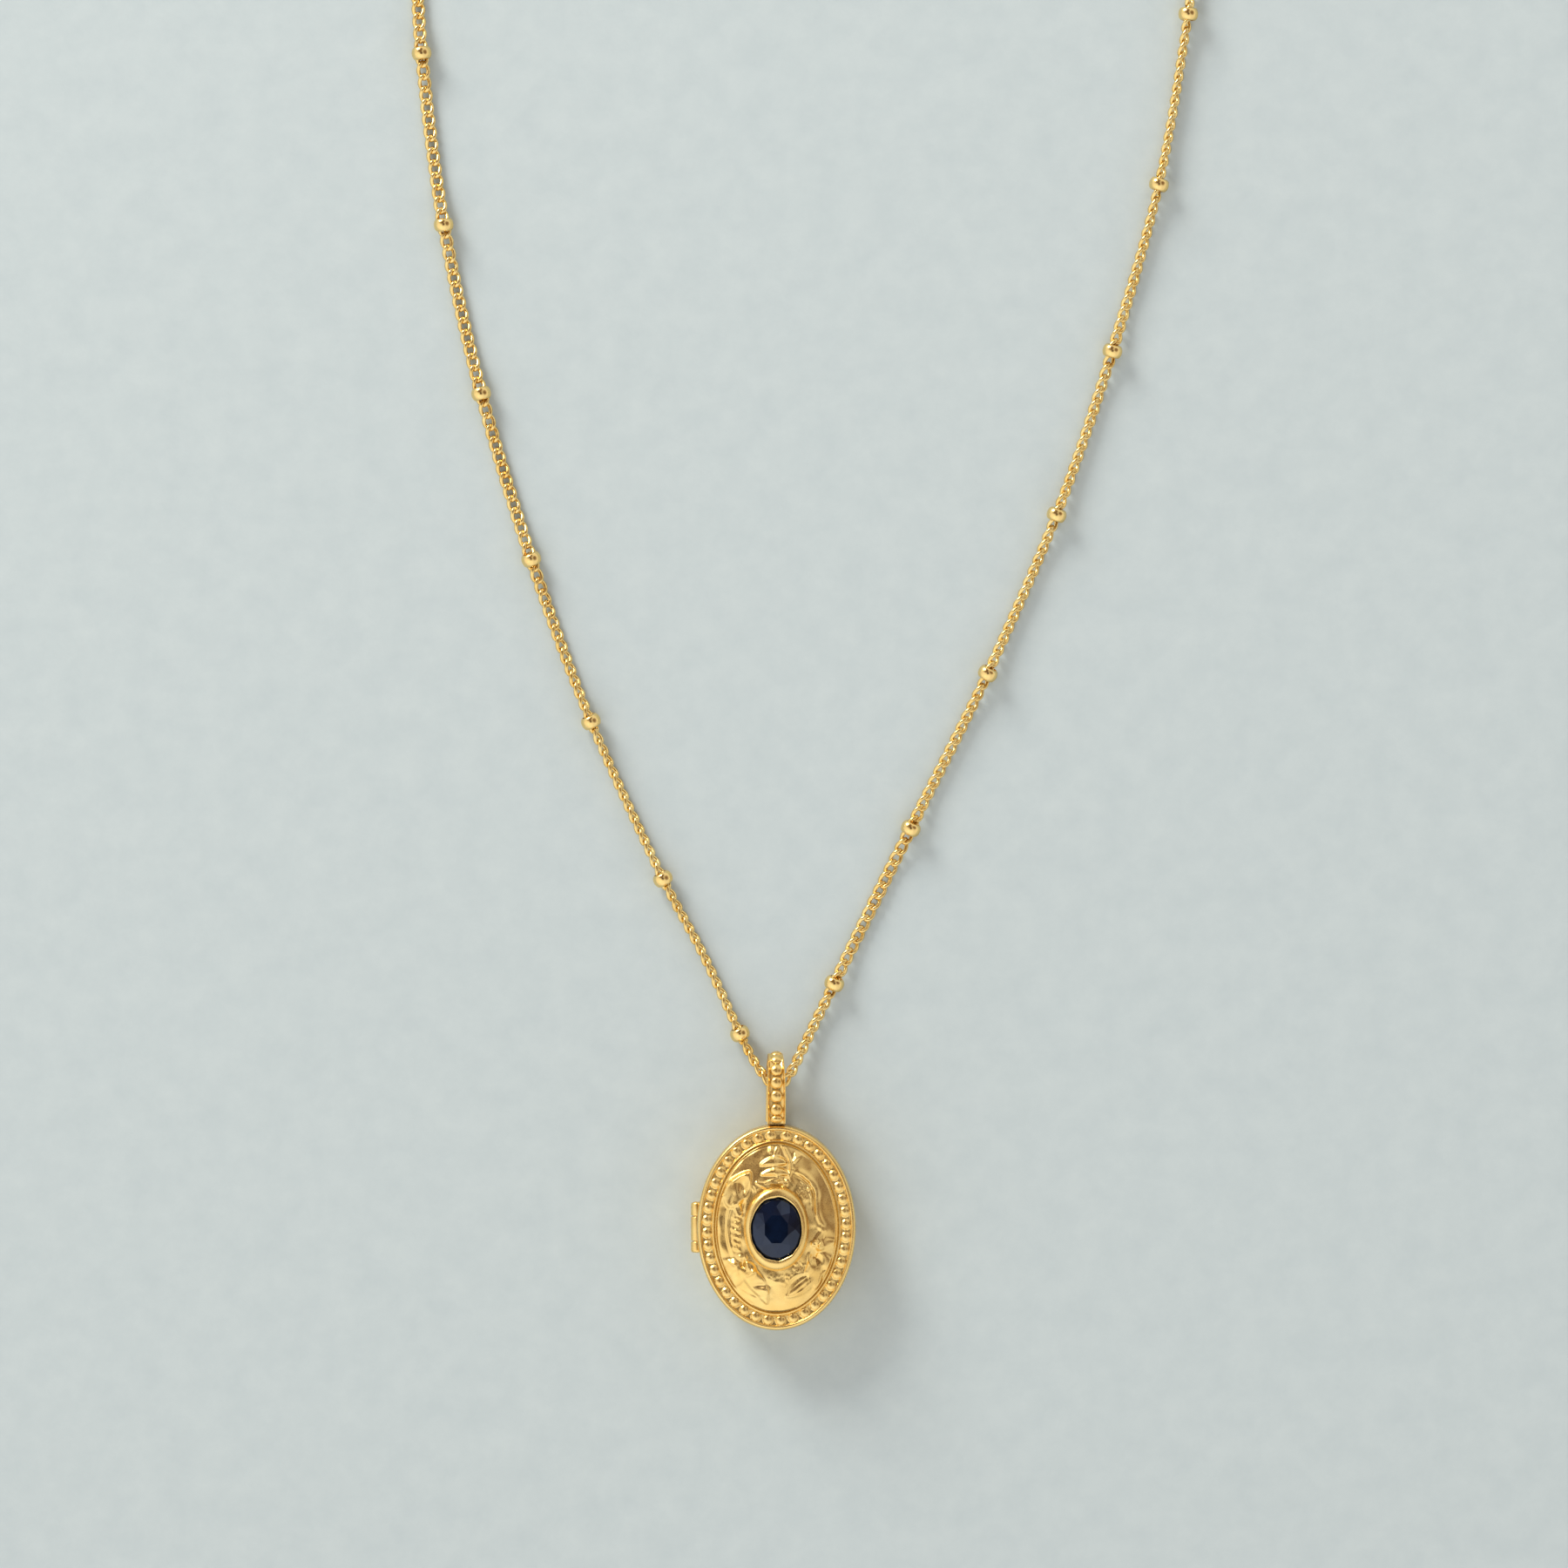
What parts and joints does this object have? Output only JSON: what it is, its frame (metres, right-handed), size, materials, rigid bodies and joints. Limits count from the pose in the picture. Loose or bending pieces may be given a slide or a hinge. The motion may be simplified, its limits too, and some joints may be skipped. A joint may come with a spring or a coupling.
{
  "type": "locket necklace",
  "caption": "Hinged oval locket with a collar-set dark blue stone and flower relief, on a beaded bail and a fine curb chain with rondelle beads and a bolt ring clasp.",
  "frame": {"origin": "middle of the locket's flat back, which lies on the plane z = 0", "axes": "+Z out of the locket's front, +Y from the locket towards the clasp, +X to the right with the hinge on the left"},
  "size_m": [0.075, 0.1681, 0.0068],
  "materials": {
    "case_gold": "satin gold plate, polished on the high spots",
    "chain_gold": "bright gold plate",
    "sapphire_blue": "faceted, polished, nearly black blue",
    "clear_window": "clear plastic sheet",
    "spring_steel": "bright wire"
  },
  "bodies": {
    "chain": {"chain_left": "chain_gold", "chain_right": "chain_gold", "satellite_left_01": "chain_gold", "satellite_left_02": "chain_gold", "satellite_left_03": "chain_gold", "satellite_left_04": "chain_gold", "satellite_left_05": "chain_gold", "satellite_left_06": "chain_gold", "satellite_left_07": "chain_gold", "satellite_left_08": "chain_gold", "satellite_left_09": "chain_gold", "satellite_left_10": "chain_gold", "satellite_left_11": "chain_gold", "satellite_left_12": "chain_gold", "satellite_right_01": "chain_gold", "satellite_right_02": "chain_gold", "satellite_right_03": "chain_gold", "satellite_right_04": "chain_gold", "satellite_right_05": "chain_gold", "satellite_right_06": "chain_gold", "satellite_right_07": "chain_gold", "satellite_right_08": "chain_gold", "satellite_right_09": "chain_gold", "satellite_right_10": "chain_gold", "satellite_right_11": "chain_gold", "satellite_right_12": "chain_gold", "clasp_body": "chain_gold", "clasp_eye": "chain_gold", "end_ring_left": "chain_gold", "end_ring_right": "chain_gold", "clasp_spring": "spring_steel"},
    "pendant": {"back_shell": "case_gold", "snap_rim": "case_gold", "photo_window_back": "clear_window", "photo_frame_back": "case_gold", "hinge_knuckle_lower": "case_gold", "hinge_knuckle_upper": "case_gold", "hinge_pin": "case_gold", "bail": "case_gold", "bail_lug": "case_gold"},
    "lid": {"front_cover": "case_gold", "hinge_knuckle_middle": "case_gold", "stone_bezel": "case_gold", "sapphire": "sapphire_blue", "photo_window_front": "clear_window", "photo_frame_front": "case_gold"},
    "bolt": {"clasp_bolt": "chain_gold", "clasp_thumb_pin": "chain_gold"}
  },
  "joints": [
    {"name": "pendant_swing", "type": "hinge", "parent": "chain", "child": "pendant", "pos_m": [0, 0.01325, 0.0015], "axis": [-1, 0, 0], "range_deg": [0, 100]},
    {"name": "lid_hinge", "type": "hinge", "parent": "pendant", "child": "lid", "pos_m": [-0.0073, 0, 0.00245], "axis": [0, -1, 0], "range_deg": [0, 150]},
    {"name": "bolt_turn", "type": "hinge", "parent": "chain", "child": "bolt", "pos_m": [0.0039, 0.126, 0.00136], "axis": [0, 0, 1], "range_deg": [0, 56], "stiffness_Nm_per_rad": 0.0005, "springref_deg": -57.3, "deforming": ["clasp_spring"]}
  ]
}
